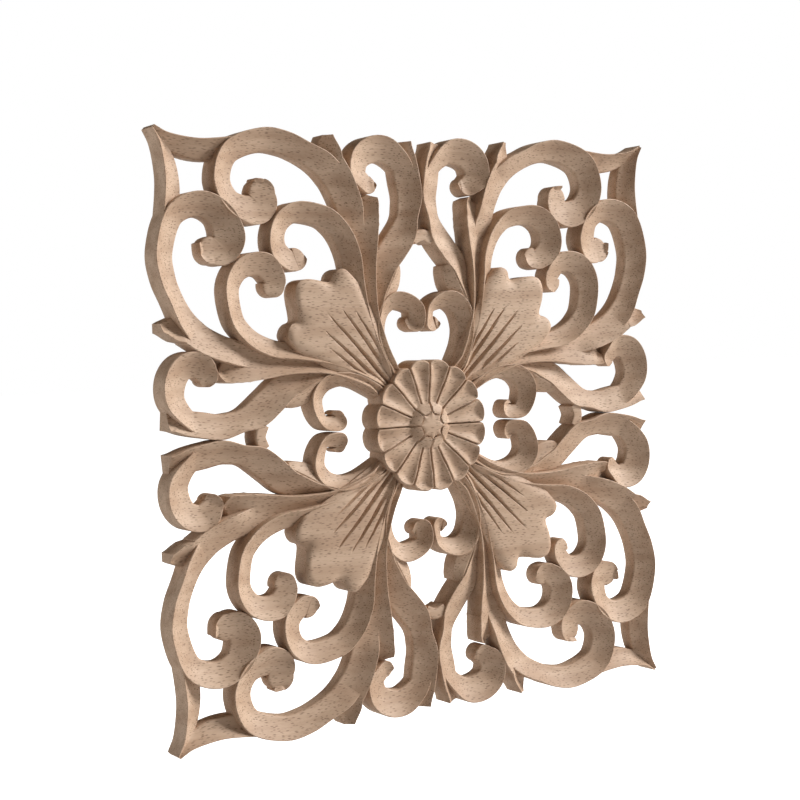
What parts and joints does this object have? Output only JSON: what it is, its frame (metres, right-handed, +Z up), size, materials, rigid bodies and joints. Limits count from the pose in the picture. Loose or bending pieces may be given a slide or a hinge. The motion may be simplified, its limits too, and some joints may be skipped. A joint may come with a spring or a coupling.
{
  "type": "carved wood applique",
  "caption": "Flat-backed square openwork carving of leaf scrolls round a petalled rosette, glued or pinned as an ornament to a door, a wall or a piece of furniture.",
  "frame": {"origin": "the middle of the flat back, where the applique is fixed", "axes": "+X to the right and +Z up as hung, +Y out of the back into the surface behind, the carving faces -Y"},
  "size_m": [0.2036, 0.01, 0.2036],
  "materials": {
    "wood": "bare sanded pale hardwood"
  },
  "bodies": {
    "root": {"carved_panel": "wood"}
  },
  "joints": []
}
